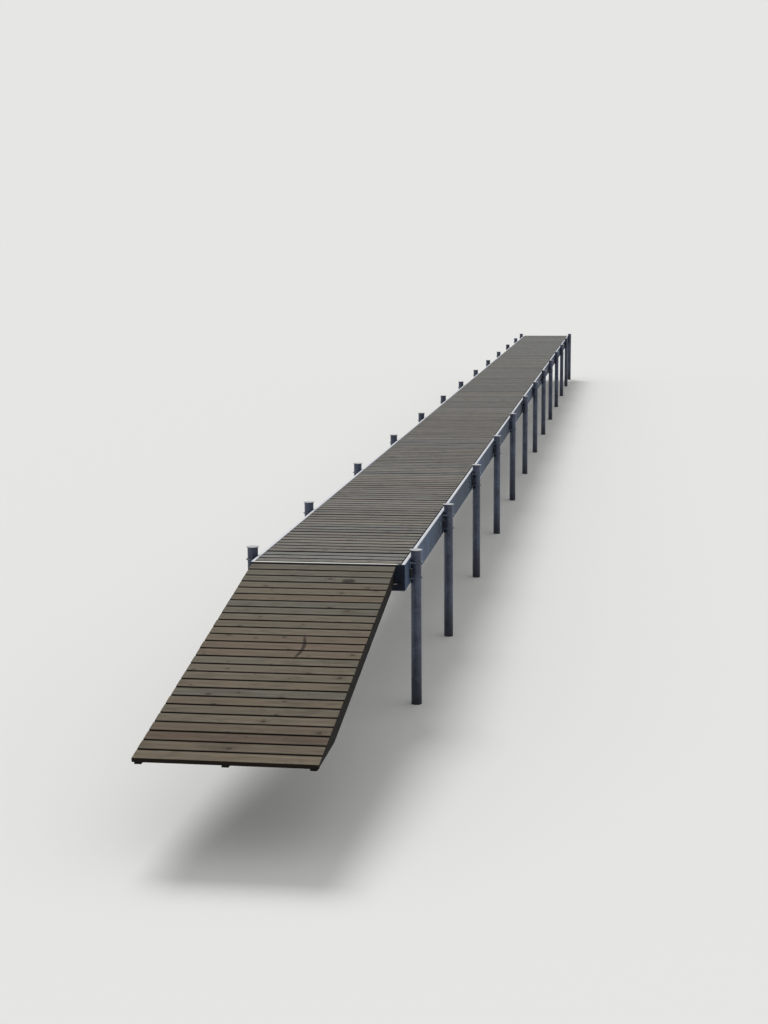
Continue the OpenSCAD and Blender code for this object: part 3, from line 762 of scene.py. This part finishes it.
# rings of points round a line, joined to a closed turned or six-sided shape
def turnedShape(verts, faces, point, out, profile, sides, phase=0.0):
    first = len(verts)
    aside = out.orthogonal().normalized()
    beside = out.cross(aside)
    for radius, rise in profile:
        for k in range(sides):
            angle = phase + 2 * math.pi * k / sides
            verts.append(point + (aside * math.cos(angle) + beside * math.sin(angle)) * radius + out * rise)
    for ring in range(len(profile) - 1):
        for k in range(sides):
            a = first + ring * sides + k
            b = first + ring * sides + (k + 1) % sides
            faces.append((a, b, b + sides, a + sides))
    faces.append(tuple(first + k for k in reversed(range(sides))))
    faces.append(tuple(first + (len(profile) - 1) * sides + k for k in range(sides)))


def boltMesh(name, seats, material):
    verts = []
    faces = []
    look = boltSet
    corner = look["flats"] / math.sqrt(3)
    for point, out, isNut, phase in seats:
        rim = look["washer"]
        thick = look["washerThick"]
        disc = [(rim, -look["sunk"]), (rim, 0.8 * thick), (0.95 * rim, thick)]
        turnedShape(verts, faces, point, out, disc, look["washerSides"])
        top = thick + (look["nutHigh"] if isNut else look["headHigh"])
        hexagon = [(corner, thick - look["sunk"]), (corner, top - look["chamfer"]), (0.86 * corner, top)]
        turnedShape(verts, faces, point, out, hexagon, 6, phase)
        if isNut:
            tip = top + look["tipOut"]
            shank = look["shank"]
            bevel = look["tipChamfer"]
            rod = [(shank, top - bevel), (shank, tip - bevel), (0.8 * shank, tip)]
            turnedShape(verts, faces, point, out, rod, look["tipSides"])
    return meshPiece(name, verts, faces, material)


def spliceSeats(rng):
    low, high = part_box("splice_plates")
    middle = (low.z + high.z) / 2
    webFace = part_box("bay_02_side_beams")[1].x
    ends = levelsOf("splice_plates", 1)
    joints = [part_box(bay + "_side_beams")[0].y for bay in bayNames[1:]]
    gap = joints[0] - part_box("bay_01_side_beams")[1].y
    plateFace = min(abs(x) for x in levelsOf("splice_plates", 0))
    seats = []
    for joint in [y - gap / 2 for y in joints if ends[0] < y < ends[-1]]:
        for side in (-1, 1):
            for along in (-1, 1):
                for up in (-1, 1):
                    y = joint + along * boltSet["splicePitch"] / 2
                    z = middle + up * boltSet["spliceRise"] / 2
                    head = Vector((side * webFace, y, z))
                    nut = Vector((side * plateFace, y, z))
                    seats.append((head, Vector((side, 0, 0)), False, rng.uniform(0, 1)))
                    seats.append((nut, Vector((-side, 0, 0)), True, rng.uniform(0, 1)))
    return seats


def ledgeSeats(rng):
    low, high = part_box("ramp_ledge")
    legFace = max(y for y in levelsOf("ramp_ledge", 1) if y < high.y - 0.001)
    z = high.z - boltSet["ledgeDrop"]
    middle = (low.x + high.x) / 2
    return [(Vector((middle + x, legFace, z)), Vector((0, -1, 0)), False, rng.uniform(0, 1))
            for x in boltSet["ledgePlaces"]]


spliceSeatList = spliceSeats(random.Random(boltSet["spliceSeed"]))
ledgeSeatList = ledgeSeats(random.Random(boltSet["ledgeSeed"]))
keepPiece(boltMesh("splice_bolts", spliceSeatList, boltZinc), "clamp_steel")
keepPiece(boltMesh("ledge_bolts", ledgeSeatList, boltZinc), "clamp_steel")
print("bolts set")


# pale floor, soft lamp from beyond the far end, pale surroundings for the eye and for reflections
studioSet = {
    "floorReach": 1500, "floorDrop": 0.0005, "floor": "#e2e2e0", "backdrop": "#e6e6e4", "fill": 0.62,
    "lampStrength": 1.75, "lampSoftness": 24, "lampFrom": (-0.35, 0.75, 0.95),  # softness in degrees
}


def addStudio(look):
    reach = look["floorReach"]
    corners = [(-reach, -reach, 0), (reach, -reach, 0), (reach, reach, 0), (-reach, reach, 0)]
    plain = {"Base Color": linearColour(look["floor"]), "Roughness": 0.95, "Specular IOR Level": 0.0}
    floor = meshPiece("floor", corners, [(0, 1, 2, 3)], newMaterial("matPaleFloor", plain)[0])
    floor.location.z = cadBox[0].z - look["floorDrop"]

    world = bpy.data.worlds.new("paleRoom")
    bpy.context.scene.world = world
    world.use_nodes = True
    tree = world.node_tree
    add = partial(addNode, tree)
    path = add("ShaderNodeLightPath")
    seen = add("ShaderNodeMath", {0: path.outputs["Is Camera Ray"], 1: path.outputs["Is Glossy Ray"]},
               operation="MAXIMUM").outputs[0]
    seen = add("ShaderNodeMath", {0: seen, 1: path.outputs["Is Transmission Ray"]},
               operation="MAXIMUM").outputs[0]
    fill = [look["fill"]] * 3 + [1.0]
    colour = add("ShaderNodeMix", {0: seen, 6: fill, 7: linearColour(look["backdrop"])},
                 data_type="RGBA").outputs[2]
    tree.links.new(colour, tree.nodes["Background"].inputs["Color"])

    lamp = bpy.data.lights.new("softLamp", "SUN")
    lamp.energy = look["lampStrength"]
    lamp.angle = math.radians(look["lampSoftness"])
    lampObject = bpy.data.objects.new("softLamp", lamp)
    lampObject.rotation_euler = Vector(look["lampFrom"]).to_track_quat("Z", "Y").to_euler()
    bpy.context.scene.collection.objects.link(lampObject)


addStudio(studioSet)
bpy.context.scene.view_settings.view_transform = "Standard"
print("studio lit")
